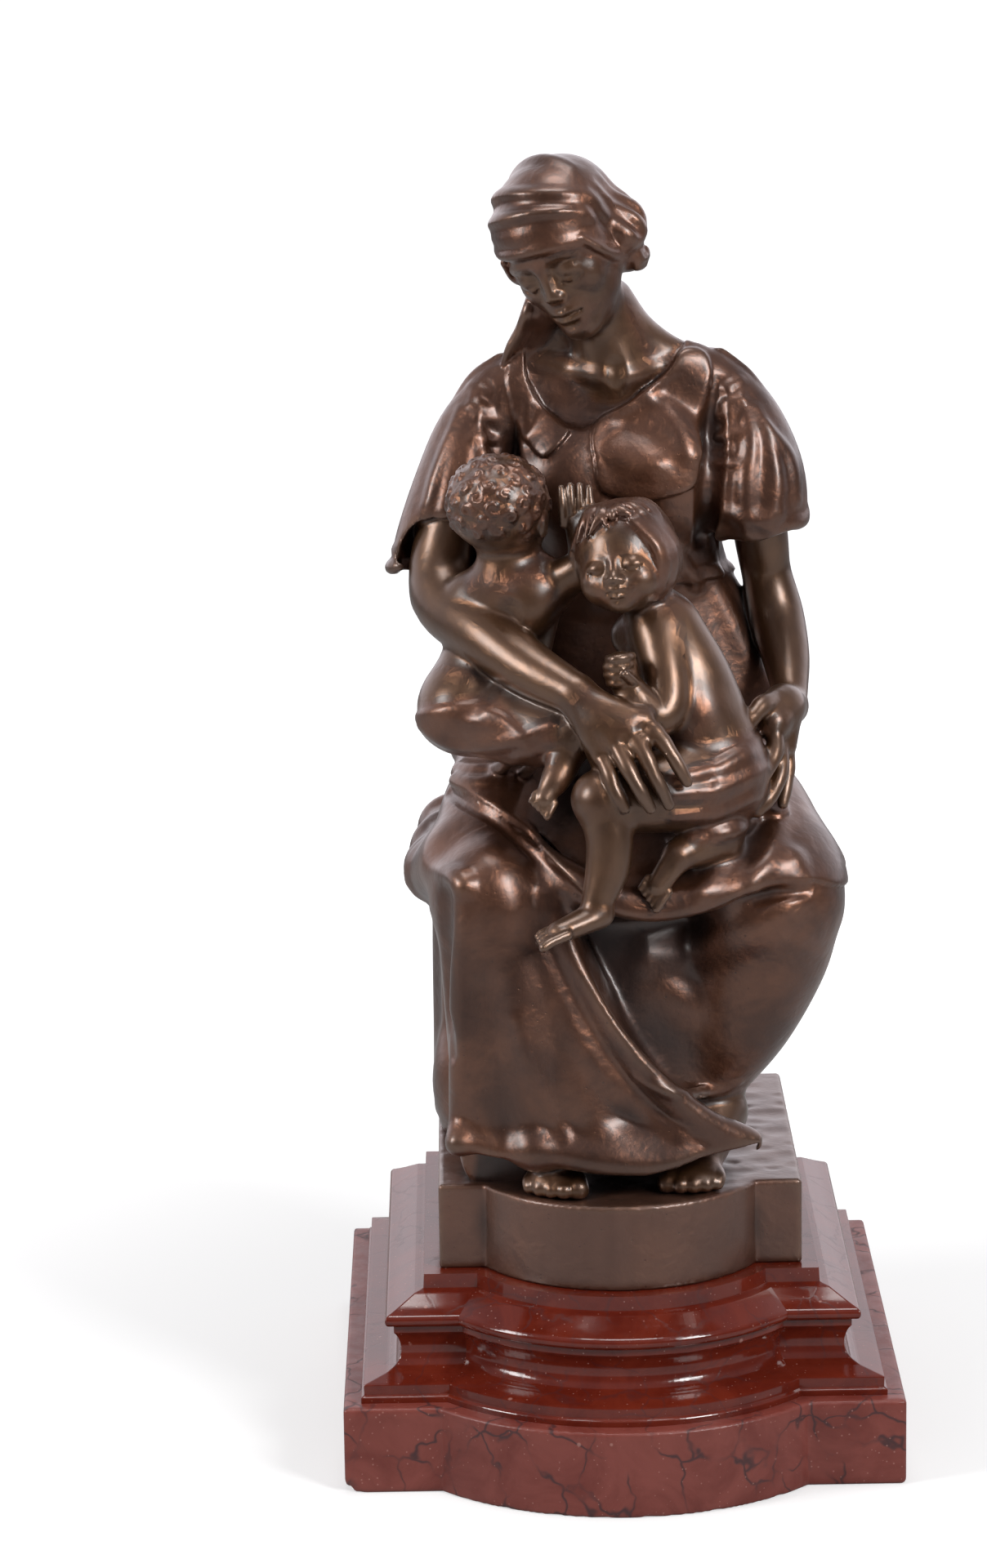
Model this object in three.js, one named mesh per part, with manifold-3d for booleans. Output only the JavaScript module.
// Charity sculpture group: a seated mother with two infants, cast in bronze on a bow-fronted
// bronze base, standing on a moulded block and a slab of red marble.
// Millimetres, +Z up, the front faces -Y. The origin is the middle of the slab's underside.
import * as THREE from "three";
import Module from "manifold-3d";

const wasm = await Module();
wasm.setup();

// Driving dimensions of the plinth
const SLAB_WIDTH = 310; // the slab is square in plan, with a bow added in front
const BOW_RISE = 43; // how far the bow stands in front of the slab's straight face
const BOW_HALF_CHORD = 101.5;
const SLAB_TOP = 49;
const MOULDING_TOP = 111.4;
const BRONZE_BASE_INSET = 54; // from the slab's edge to the bronze base's edge
const BRONZE_BASE_TOP = 160;
const FIGURE_FOOT = BRONZE_BASE_TOP - 5; // the figure is sunk this far into its base
const ARC_STEPS = 18;

// Grain of the clay and the fineness of the figure's faceted surface
const CLAY_STEP = 4;
const FIGURE_TRIANGLES = 8400;
const SHORT_EDGE_SHARE = 1e-5; // how much the simplifier prefers short edges
const FAR = 20; // the distance kept for places that no shape has come near

const FRONT_Y = -(SLAB_WIDTH + BOW_RISE) / 2 + BOW_RISE;
const BOW_RADIUS = (BOW_HALF_CHORD ** 2 + BOW_RISE ** 2) / (2 * BOW_RISE);
const BOW_CENTRE_Y = FRONT_Y - BOW_RISE + BOW_RADIUS;

// The moulded block from bottom to top: how far in from the slab's edge, and the height
const MOULDING = [
  [9.6, SLAB_TOP],
  [9.6, 52.2],
  [11.4, 53.2],
  [11.2, 59.1],
  [24.3, 61.7],
  ...quarterCurve([24.3, 61.7], [31.9, 73.5], [31.9, 64], 3),
  [29.6, 81],
  [28.1, 83.1],
  [28.1, 87],
  [24.4, 88.3],
  [23.4, 91.2],
  [24.6, 94],
  ...quarterCurve([24.6, 94], [40.1, 102.3], [36, 95], 3),
  [44.7, 103.3],
  [45.2, MOULDING_TOP],
];

// Points of a quadratic curve after its start, for coves and rounds of the moulding
function quarterCurve(start, end, corner, steps) {
  const points = [];
  for (let i = 1; i <= steps; i++) {
    const t = i / steps;
    points.push(
      start.map((s, axis) => {
        return (1 - t) ** 2 * s + 2 * t * (1 - t) * corner[axis] + t * t * end[axis];
      }),
    );
  }
  return points;
}

// The plinth's outline moved in by inset: a square with an arc of the bow in its front
function outlineAt(inset) {
  const half = SLAB_WIDTH / 2 - inset;
  const radius = BOW_RADIUS - inset;
  const front = FRONT_Y + inset;
  const back = FRONT_Y + SLAB_WIDTH - inset;
  const halfAngle = Math.acos((BOW_CENTRE_Y - front) / radius);
  const points = [
    [half, front],
    [half, back],
    [-half, back],
    [-half, front],
  ];
  for (let i = 0; i <= ARC_STEPS; i++) {
    const angle = halfAngle * ((2 * i) / ARC_STEPS - 1);
    points.push([radius * Math.sin(angle), BOW_CENTRE_Y - radius * Math.cos(angle)]);
  }
  return points;
}

// A solid whose outline follows the profile's insets and heights, closed top and bottom
function sweptBlock(profile) {
  const rings = profile.map(([inset]) => outlineAt(inset));
  const count = rings[0].length;
  const positions = profile.flatMap(([, z], ring) => rings[ring].flatMap(([x, y]) => [x, y, z]));
  const index = [];
  for (let ring = 0; ring + 1 < profile.length; ring++) {
    for (let i = 0; i < count; i++) {
      const a = ring * count + i;
      const b = ring * count + ((i + 1) % count);
      index.push(a, b, b + count, a, b + count, a + count);
    }
  }
  const flat = rings[0].map(([x, y]) => new THREE.Vector2(x, y));
  const lid = (profile.length - 1) * count;
  for (const [a, b, c] of THREE.ShapeUtils.triangulateShape(flat, [])) {
    index.push(a, c, b, lid + a, lid + b, lid + c);
  }
  const geometry = new THREE.BufferGeometry();
  geometry.setAttribute("position", new THREE.Float32BufferAttribute(positions, 3));
  geometry.setIndex(index);
  return geometry;
}

// Small vector sums on [x, y, z]
const plus = (a, b) => [a[0] + b[0], a[1] + b[1], a[2] + b[2]];
const minus = (a, b) => [a[0] - b[0], a[1] - b[1], a[2] - b[2]];
const times = (a, k) => [a[0] * k, a[1] * k, a[2] * k];
const dot = (a, b) => a[0] * b[0] + a[1] * b[1] + a[2] * b[2];
const between = (a, b, t) => a.map((v, i) => v + (b[i] - v) * t);
const length = (a) => Math.sqrt(dot(a, a));
const unit = (a) => a.map((v) => v / (length(a) || 1));
const cross = (a, b) => {
  return [a[1] * b[2] - a[2] * b[1], a[2] * b[0] - a[0] * b[2], a[0] * b[1] - a[1] * b[0]];
};
const clamp = (v, low, high) => Math.min(high, Math.max(low, v));
const radians = THREE.MathUtils.degToRad;

// The way the group is mostly looked at: level, and a little down
const FRONT = [0, 0.968, -0.25];

// A frame has an origin and three axes; out takes a point of it to the world
function frameFrom(origin, axes) {
  const out = (p) => {
    return origin.map((o, i) => o + axes[0][i] * p[0] + axes[1][i] * p[1] + axes[2][i] * p[2]);
  };
  return { origin, axes, out };
}

// A frame turned about Z, then X, then Y, in degrees
function frameAt(origin, turnZ = 0, turnX = 0, turnY = 0) {
  const e = new THREE.Matrix4()
    .makeRotationZ(radians(turnZ))
    .multiply(new THREE.Matrix4().makeRotationX(radians(turnX)))
    .multiply(new THREE.Matrix4().makeRotationY(radians(turnY))).elements;
  return frameFrom(origin, [
    [e[0], e[1], e[2]],
    [e[4], e[5], e[6]],
    [e[8], e[9], e[10]],
  ]);
}

// A frame moved and turned inside another
function childFrame(parent, origin, turnZ = 0, turnX = 0, turnY = 0) {
  const turned = frameAt([0, 0, 0], turnZ, turnX, turnY);
  const axes = turned.axes.map((axis) => minus(parent.out(axis), parent.origin));
  return frameFrom(parent.out(origin), axes);
}

const WORLD = frameAt([0, 0, 0]);

// A smooth curve through values, each a number or a list, at the share t of its way
function smoothAt(values, t) {
  const last = values.length - 1;
  const place = clamp(t * last, 0, last - 1e-9);
  const i = Math.floor(place);
  const u = place - i;
  const pick = (n, axis) => {
    const read = (k) => (axis === null ? values[k] : values[k][axis]);
    if (n < 0) return 2 * read(0) - read(1);
    if (n > last) return 2 * read(last) - read(last - 1);
    return read(n);
  };
  const blend = (axis) => {
    const [p0, p1, p2, p3] = [i - 1, i, i + 1, i + 2].map((n) => pick(n, axis));
    const square = (2 * p0 - 5 * p1 + 4 * p2 - p3) * u * u;
    return 0.5 * (2 * p1 + (p2 - p0) * u + square + (3 * p1 - p0 - 3 * p2 + p3) * u ** 3);
  };
  return Array.isArray(values[0]) ? values[0].map((_, axis) => blend(axis)) : blend(null);
}

// A width or height along a line: one number, or several spread over its length
function spreadAt(values, t) {
  return Array.isArray(values) ? smoothAt(values, t) : values;
}

// Shapes. Each gives its box and the distance from a point to its surface, minus inside.

// A limb: round, with a radius at each end; share thins it along the flat direction
function limb(a, b, radiusA, radiusB, flat = null, share = 1) {
  const along = minus(b, a);
  const square = dot(along, along) || 1e-9;
  const reach = Math.max(radiusA, radiusB);
  const n = flat ? unit(flat) : null;
  const box = a.map((v, i) => [Math.min(v, b[i]) - reach, Math.max(v, b[i]) + reach]);
  const distance = (x, y, z) => {
    const px = x - a[0];
    const py = y - a[1];
    const pz = z - a[2];
    const t = clamp((px * along[0] + py * along[1] + pz * along[2]) / square, 0, 1);
    const qx = px - along[0] * t;
    const qy = py - along[1] * t;
    const qz = pz - along[2] * t;
    const radius = radiusA + (radiusB - radiusA) * t;
    const plain = Math.sqrt(qx * qx + qy * qy + qz * qz);
    if (!n) return plain - radius;
    const across = (qx * n[0] + qy * n[1] + qz * n[2]) * (1 / share - 1);
    const wide = Math.hypot(qx + n[0] * across, qy + n[1] * across, qz + n[2] * across);
    return (wide - radius) * (wide > 1e-6 ? plain / wide : share);
  };
  return { box, distance };
}

// An egg: an ellipsoid with three half sizes, turned with its frame
function ball(centre, half, frame = WORLD) {
  const c = frame.out(centre);
  const reach = Math.max(...half);
  const [u, v, w] = frame.axes;
  const box = c.map((value) => [value - reach, value + reach]);
  const distance = (x, y, z) => {
    const p = [x - c[0], y - c[1], z - c[2]];
    const a = dot(p, u) / half[0];
    const b = dot(p, v) / half[1];
    const d = dot(p, w) / half[2];
    const k0 = Math.sqrt(a * a + b * b + d * d);
    const k1 = Math.sqrt((a / half[0]) ** 2 + (b / half[1]) ** 2 + (d / half[2]) ** 2);
    return k1 < 1e-9 ? -Math.min(...half) : (k0 * (k0 - 1)) / k1;
  };
  return { box, distance };
}

// A box with rounded edges
function block(centre, half, round, frame = WORLD) {
  const c = frame.out(centre);
  const reach = length(half);
  const [u, v, w] = frame.axes;
  const box = c.map((value) => [value - reach, value + reach]);
  const distance = (x, y, z) => {
    const p = [x - c[0], y - c[1], z - c[2]];
    const q = [u, v, w].map((axis, i) => Math.abs(dot(p, axis)) - half[i] + round);
    const outside = Math.hypot(Math.max(q[0], 0), Math.max(q[1], 0), Math.max(q[2], 0));
    return outside + Math.min(0, Math.max(q[0], q[1], q[2])) - round;
  };
  return { box, distance };
}

// All that lies beyond a point in a direction
function half(point, direction) {
  const n = unit(direction);
  const distance = (x, y, z) => -dot(minus([x, y, z], point), n);
  return { box: [0, 1, 2].map(() => [-1e4, 1e4]), distance };
}

// An outline in the plane across the axis, standing from low to high along it. A curve of
// n rounds the outline through its points with n steps for each.
function prism(points, axis, low, high, round = 0, curve = 0) {
  const count = points.length;
  const flat = [];
  for (let k = 0; k < count * Math.max(curve, 1); k++) {
    const i = curve ? Math.floor(k / curve) : k;
    const u = curve ? (k % curve) / curve : 0;
    const four = [i - 1, i, i + 1, i + 2].map((n) => points[(n + count) % count]);
    flat.push(smoothAt(four, (1 + u) / 3));
  }
  const [across, up] = [0, 1, 2].filter((i) => i !== axis);
  const box = [];
  box[axis] = [low, high];
  [across, up].forEach((i, row) => {
    box[i] = [Math.min(...flat.map((p) => p[row])), Math.max(...flat.map((p) => p[row]))];
  });
  const distance = (x, y, z) => {
    const place = [x, y, z];
    const p = place[across];
    const q = place[up];
    let least = Infinity;
    let inside = false;
    flat.forEach(([ax, ay], i) => {
      const [bx, by] = flat[(i + 1) % flat.length];
      const ex = bx - ax;
      const ey = by - ay;
      const t = clamp(((p - ax) * ex + (q - ay) * ey) / (ex * ex + ey * ey || 1e-9), 0, 1);
      least = Math.min(least, (p - ax - ex * t) ** 2 + (q - ay - ey * t) ** 2);
      if (ay > q !== by > q && p < ax + ((q - ay) * ex) / ey) inside = !inside;
    });
    const d = Math.sqrt(least) * (inside ? -1 : 1) + round;
    const h = Math.abs(place[axis] - (low + high) / 2) - (high - low) / 2 + round;
    return Math.min(Math.max(d, h), 0) + Math.hypot(Math.max(d, 0), Math.max(h, 0)) - round;
  };
  return { box, distance };
}

// A shape with others taken out of it
function without(shape, ...others) {
  const distance = (x, y, z) => {
    const cuts = others.map((other) => -other.distance(x, y, z));
    return Math.max(shape.distance(x, y, z), ...cuts);
  };
  return { box: shape.box, distance };
}

// Several limbs as one shape
function chain(parts) {
  const box = [0, 1, 2].map((i) => [
    Math.min(...parts.map((p) => p.box[i][0])),
    Math.max(...parts.map((p) => p.box[i][1])),
  ]);
  const distance = (x, y, z) => {
    let least = Infinity;
    for (const part of parts) least = Math.min(least, part.distance(x, y, z));
    return least;
  };
  return { box, distance };
}

// A fold or cord of clay: limbs end to end along a smooth curve through the points
function fold(points, radii, flat = null, share = 1) {
  const steps = (points.length - 1) * 3;
  const parts = [];
  for (let i = 0; i < steps; i++) {
    const [t, u] = [i / steps, (i + 1) / steps];
    const [radiusA, radiusB] = [t, u].map((s) => Math.max(0.3, smoothAt(radii, s)));
    parts.push(limb(smoothAt(points, t), smoothAt(points, u), radiusA, radiusB, flat, share));
  }
  return chain(parts);
}

// Clay: a grid of distances that shapes are added to, cut from and laid over
class Clay {
  constructor(low, high, step) {
    this.low = low;
    this.step = step;
    this.size = low.map((v, i) => Math.ceil((high[i] - v) / step) + 1);
    this.field = new Float32Array(this.size[0] * this.size[1] * this.size[2]).fill(FAR);
  }
  change(shape, margin, rule) {
    const { low, step, size, field } = this;
    const from = shape.box.map(([a], i) => Math.max(0, Math.floor((a - margin - low[i]) / step)));
    const to = shape.box.map(([, b], i) => {
      return Math.min(size[i] - 1, Math.ceil((b + margin - low[i]) / step));
    });
    for (let k = from[2]; k <= to[2]; k++) {
      const z = low[2] + k * step;
      for (let j = from[1]; j <= to[1]; j++) {
        const y = low[1] + j * step;
        let at = from[0] + size[0] * (j + size[1] * k);
        for (let i = from[0]; i <= to[0]; i++, at++) {
          field[at] = rule(field[at], shape.distance(low[0] + i * step, y, z));
        }
      }
    }
  }
  // Joins a shape, with a fillet about as wide as soft
  add(shape, soft = 0) {
    this.change(shape, soft + 3 * this.step, (old, d) => -softMax(-old, -d, soft));
  }
  // Takes a shape away, with its edge rounded by soft
  cut(shape, soft = 0) {
    this.change(shape, soft + this.step, (old, d) => softMax(old, -d, soft));
  }
  // Cuts everything off flat below a height
  keepAbove(height) {
    const { low, step, size, field } = this;
    const layer = size[0] * size[1];
    field.forEach((d, at) => {
      const z = low[2] + Math.floor(at / layer) * step;
      field[at] = Math.max(d, height - z);
    });
  }
  // Lays cloth of that thickness over what is there, inside the region
  drape(region, thickness, soft = 0) {
    this.change(region, soft, (old, d) => Math.min(old, softMax(old - thickness, d, soft)));
  }
  // The distance at any point, between the grid's nodes
  at(p) {
    const { low, step, size, field } = this;
    const place = p.map((v, i) => (v - low[i]) / step);
    if (place.some((v, i) => v < 0 || v >= size[i] - 1)) return FAR;
    const [i, j, k] = place.map(Math.floor);
    const [u, v, w] = [place[0] - i, place[1] - j, place[2] - k];
    let total = 0;
    for (let n = 0; n < 8; n++) {
      const [a, b, c] = [n & 1, (n >> 1) & 1, n >> 2];
      const share = (a ? u : 1 - u) * (b ? v : 1 - v) * (c ? w : 1 - w);
      total += share * field[i + a + size[0] * (j + b + size[1] * (k + c))];
    }
    return total;
  }
  // The first place where a line from start meets the clay, or nothing
  meets(start, direction, reach) {
    let before = this.at(start);
    for (let t = 1; t < reach; t++) {
      const here = this.at(plus(start, times(direction, t)));
      if (here < 0) return plus(start, times(direction, t - here / (here - before)));
      before = here;
    }
    return null;
  }
  // The way out of the clay at a point
  outward(p) {
    const h = this.step / 2;
    const steps = [[h, 0, 0], [0, h, 0], [0, 0, h]];
    return unit(steps.map((s) => this.at(plus(p, s)) - this.at(minus(p, s))));
  }
}

// Lays a smooth line on the clay, seen along a direction or towards a centre. Each place has
// its point, the way out of the clay there, and the share of the line passed.
function traced(clay, points, how) {
  const { direction = FRONT, centre = null, back = 70, grain = 4 } = how;
  let span = 0;
  for (let i = 1; i < points.length; i++) span += length(minus(points[i], points[i - 1]));
  const count = Math.max(4, Math.floor(span / grain));
  const found = [];
  for (let k = 0; k <= count; k++) {
    const p = smoothAt(points, k / count);
    const d = unit(centre ? minus(centre, p) : direction);
    const point = clay.meets(minus(p, times(d, back)), d, 2.2 * back + 90);
    if (point) found.push({ point, out: clay.outward(point), share: k / count });
  }
  return found;
}

// The limbs of a ridge or groove: lift moves them out of the clay from their own radius
function alongLine(clay, points, radius, how, lift) {
  const places = traced(clay, points, how).map(({ point, out, share }) => {
    const r = Math.max(0.4, spreadAt(radius, share));
    return { p: plus(point, times(out, lift(r, share))), r };
  });
  const parts = places.slice(1).map(({ p, r }, i) => limb(places[i].p, p, places[i].r, r));
  return parts.length ? chain(parts) : null;
}

// A fold that stands height proud of the clay, round over its crest by radius
function ridge(clay, points, radius, height, soft = 5, how = {}) {
  const lift = (r, share) => spreadAt(height, share) - r;
  const shape = alongLine(clay, points, radius, how, lift);
  if (shape) clay.add(shape, soft);
}

// A hollow of that depth along a line on the clay
function groove(clay, points, radius, depth, soft = 3, how = {}) {
  const lift = (r, share) => r - spreadAt(depth, share);
  const shape = alongLine(clay, points, radius, how, lift);
  if (shape) clay.cut(shape, soft);
}

function softMax(a, b, soft) {
  if (soft <= 0) return Math.max(a, b);
  const h = Math.max(soft - Math.abs(a - b), 0) / soft;
  return Math.max(a, b) + h * h * soft * 0.25;
}

// The six tetrahedra of a grid cell. Corner n lies at x = n & 1, y = n & 2, z = n & 4.
const TETRAHEDRA = [
  [0, 1, 3, 7],
  [0, 3, 2, 7],
  [0, 2, 6, 7],
  [0, 6, 4, 7],
  [0, 4, 5, 7],
  [0, 5, 1, 7],
];
const ONE_INSIDE = [
  [0, 1, 2, 3],
  [1, 0, 3, 2],
  [2, 0, 1, 3],
  [3, 0, 2, 1],
];
const TWO_INSIDE = [
  [0, 1, 2, 3],
  [0, 2, 3, 1],
  [0, 3, 1, 2],
  [1, 2, 0, 3],
  [1, 3, 2, 0],
  [2, 3, 0, 1],
];

// The closed surface of the clay where its distance is zero, as points and triangles
function surfaceOf(clay) {
  const { low, step, size, field } = clay;
  const points = [];
  const triangles = [];
  const made = new Map();
  const total = field.length;
  const place = (at) => [
    low[0] + (at % size[0]) * step,
    low[1] + (Math.floor(at / size[0]) % size[1]) * step,
    low[2] + Math.floor(at / (size[0] * size[1])) * step,
  ];
  const crossing = (a, b) => {
    const key = Math.min(a, b) * total + Math.max(a, b);
    if (!made.has(key)) {
      const t = field[a] / (field[a] - field[b]);
      made.set(key, points.length);
      points.push(between(place(a), place(b), Math.min(0.93, Math.max(0.07, t))));
    }
    return made.get(key);
  };
  const cutTetrahedron = (corners) => {
    const inside = corners.map((at) => field[at] < 0);
    const count = inside.filter(Boolean).length;
    if (count === 1 || count === 3) {
      const lone = inside.indexOf(count === 1);
      const [v, a, b, c] = ONE_INSIDE[lone].map((n) => corners[n]);
      const face = [crossing(v, a), crossing(v, b), crossing(v, c)];
      triangles.push(count === 1 ? face : face.reverse());
    } else if (count === 2) {
      const order = TWO_INSIDE.find(([v, w]) => inside[v] && inside[w]);
      const [v, w, a, b] = order.map((n) => corners[n]);
      const square = [crossing(v, a), crossing(v, b), crossing(w, b), crossing(w, a)];
      triangles.push([square[0], square[1], square[2]], [square[0], square[2], square[3]]);
    }
  };
  for (let k = 0; k + 1 < size[2]; k++) {
    for (let j = 0; j + 1 < size[1]; j++) {
      for (let i = 0; i + 1 < size[0]; i++) {
        const at = i + size[0] * (j + size[1] * k);
        const corners = [0, 1, 2, 3, 4, 5, 6, 7].map((n) => {
          return at + (n & 1) + ((n >> 1) & 1) * size[0] + (n >> 2) * size[0] * size[1];
        });
        const insideCount = corners.filter((n) => field[n] < 0).length;
        if (insideCount === 0 || insideCount === 8) continue;
        for (const tetrahedron of TETRAHEDRA) cutTetrahedron(tetrahedron.map((n) => corners[n]));
      }
    }
  }
  return { points, triangles };
}

// A heap of edges, the cheapest first
class Heap {
  constructor() {
    this.items = [];
  }
  push(item) {
    const { items } = this;
    let at = items.push(item) - 1;
    while (at > 0) {
      const up = (at - 1) >> 1;
      if (items[up].cost <= item.cost) break;
      items[at] = items[up];
      at = up;
    }
    items[at] = item;
  }
  pop() {
    const { items } = this;
    const top = items[0];
    const last = items.pop();
    if (items.length) {
      let at = 0;
      for (;;) {
        let down = 2 * at + 1;
        if (down >= items.length) break;
        if (down + 1 < items.length && items[down + 1].cost < items[down].cost) down++;
        if (items[down].cost >= last.cost) break;
        items[at] = items[down];
        at = down;
      }
      items[at] = last;
    }
    return top;
  }
}

// Collapses edges, those that change the shape least first, down to the wanted triangle count.
// Each vertex carries the sum of its planes as ten numbers, the quadric of its error.
function simplified({ points, triangles }, wanted) {
  const faces = triangles.map((t) => [...t]);
  const around = points.map(() => new Set());
  faces.forEach((face, f) => face.forEach((v) => around[v].add(f)));
  const quadrics = points.map(() => new Float64Array(10));
  const version = new Uint32Array(points.length);
  const normalOf = (a, b, c) => {
    const u = minus(b, a);
    const v = minus(c, a);
    return [u[1] * v[2] - u[2] * v[1], u[2] * v[0] - u[0] * v[2], u[0] * v[1] - u[1] * v[0]];
  };
  for (const face of faces) {
    const [a, b, c] = face.map((v) => points[v]);
    const raw = normalOf(a, b, c);
    const area = length(raw);
    if (area < 1e-9) continue;
    const n = raw.map((v) => v / area);
    const plane = [...n, -dot(n, a)];
    for (const v of face) {
      let at = 0;
      for (let i = 0; i < 4; i++) {
        for (let j = i; j < 4; j++) quadrics[v][at++] += plane[i] * plane[j] * area;
      }
    }
  }
  const errorAt = (q, [x, y, z]) => {
    return (
      q[0] * x * x + 2 * q[1] * x * y + 2 * q[2] * x * z + 2 * q[3] * x +
      q[4] * y * y + 2 * q[5] * y * z + 2 * q[6] * y + q[7] * z * z + 2 * q[8] * z + q[9]
    );
  };
  // The point with the least error, or the best of three where the planes don't fix one
  const bestPlace = (q, a, b) => {
    const m = new THREE.Matrix3().set(q[0], q[1], q[2], q[1], q[4], q[5], q[2], q[5], q[7]);
    const choices = [a, b, between(a, b, 0.5)];
    const size = q[0] + q[4] + q[7];
    if (Math.abs(m.determinant()) > 1e-4 * size ** 3) {
      const p = new THREE.Vector3(-q[3], -q[6], -q[8]).applyMatrix3(m.invert()).toArray();
      if (length(minus(p, choices[2])) < 2 * length(minus(a, b))) choices.push(p);
    }
    return choices.reduce((best, p) => (errorAt(q, p) < errorAt(q, best) ? p : best));
  };
  const heap = new Heap();
  const consider = (a, b) => {
    const q = quadrics[a].map((v, i) => v + quadrics[b][i]);
    const place = bestPlace(q, points[a], points[b]);
    const spread = dot(minus(points[a], points[b]), minus(points[a], points[b]));
    const cost = errorAt(q, place) + SHORT_EDGE_SHARE * spread;
    heap.push({ cost, a, b, place, stamps: [version[a], version[b]] });
  };
  const neighbours = (v) => {
    const found = new Set();
    for (const f of around[v]) for (const w of faces[f]) if (w !== v) found.add(w);
    return found;
  };
  const wouldFold = (v, other, place) => {
    for (const f of around[v]) {
      if (faces[f].includes(other)) continue;
      const before = normalOf(...faces[f].map((w) => points[w]));
      const after = normalOf(...faces[f].map((w) => (w === v ? place : points[w])));
      if (dot(before, after) < 0.25 * length(before) * length(after)) return true;
      if (length(after) < 1e-3) return true;
    }
    return false;
  };
  for (const [a, b, c] of faces) {
    if (a < b) consider(a, b);
    if (b < c) consider(b, c);
    if (c < a) consider(c, a);
  }
  let left = faces.length;
  while (left > wanted && heap.items.length) {
    const { a, b, place, stamps } = heap.pop();
    if (!around[a] || !around[b]) continue;
    if (stamps[0] !== version[a] || stamps[1] !== version[b]) continue;
    const nearB = neighbours(b);
    if (!nearB.has(a)) continue;
    const shared = [...neighbours(a)].filter((v) => nearB.has(v));
    if (shared.length !== 2 || wouldFold(a, b, place) || wouldFold(b, a, place)) continue;
    points[a] = place;
    quadrics[a] = quadrics[a].map((v, i) => v + quadrics[b][i]);
    for (const f of around[b]) {
      if (faces[f].includes(a)) {
        for (const v of faces[f]) if (v !== b) around[v].delete(f);
        faces[f] = null;
        left--;
      } else {
        faces[f][faces[f].indexOf(b)] = a;
        around[a].add(f);
      }
    }
    around[b] = null;
    version[a]++;
    for (const v of neighbours(a)) consider(a, v);
  }
  return { points, triangles: faces.filter(Boolean) };
}

// Places of the mother's body. Her right is the viewer's left, at -X.
const HIP_R = [-40, 55, 365];
const HIP_L = [42, 55, 365];
const KNEE_R = [-70, -60, 322];
const KNEE_L = [90, -54, 318];
const NECK_BASE = [4, 28, 598];
const HEAD = frameAt([-23.4, 10.1, 666.9], -24, 24, -21);
const HEAD_MIDDLE = HEAD.out([0, 9, 19]);

// Shapes are mirrored about a frame's own X by this pair
const SIDES = [-1, 1];

function seat(clay) {
  clay.add(block([-20, 60, 245], [78, 46, 92], 12));
  // cloth hangs over its sides and back
  for (let angle = 100; angle < 281; angle += 15) {
    const t = radians(angle);
    const x = -20 + 95 * Math.sin(t);
    const y = 60 - 95 * Math.cos(t);
    const sway = 4 * Math.sin(angle);
    ridge(
      clay,
      [[x, y, 330], [x + sway, y, 270], [x - sway, y, 210], [x, y, 150]],
      [7, 9, 10, 11],
      [2, 4.5, 5, 6],
      8,
      { direction: [-Math.sin(t), Math.cos(t), 0], back: 60, grain: 6 },
    );
  }
  clay.add(ball([-84, 20, 190], [20, 26, 34]), 10);
}

function lapAndLegs(clay) {
  clay.add(ball([0, 56, 388], [66, 48, 44]), 14);
  clay.add(fold([HIP_R, [-62, -5, 348], KNEE_R], [40, 36, 31]), 14);
  clay.add(fold([HIP_L, [72, 0, 344], KNEE_L], [40, 38, 33]), 14);
  clay.add(ball([4, -2, 330], [66, 82, 27]), 12);
}

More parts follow.
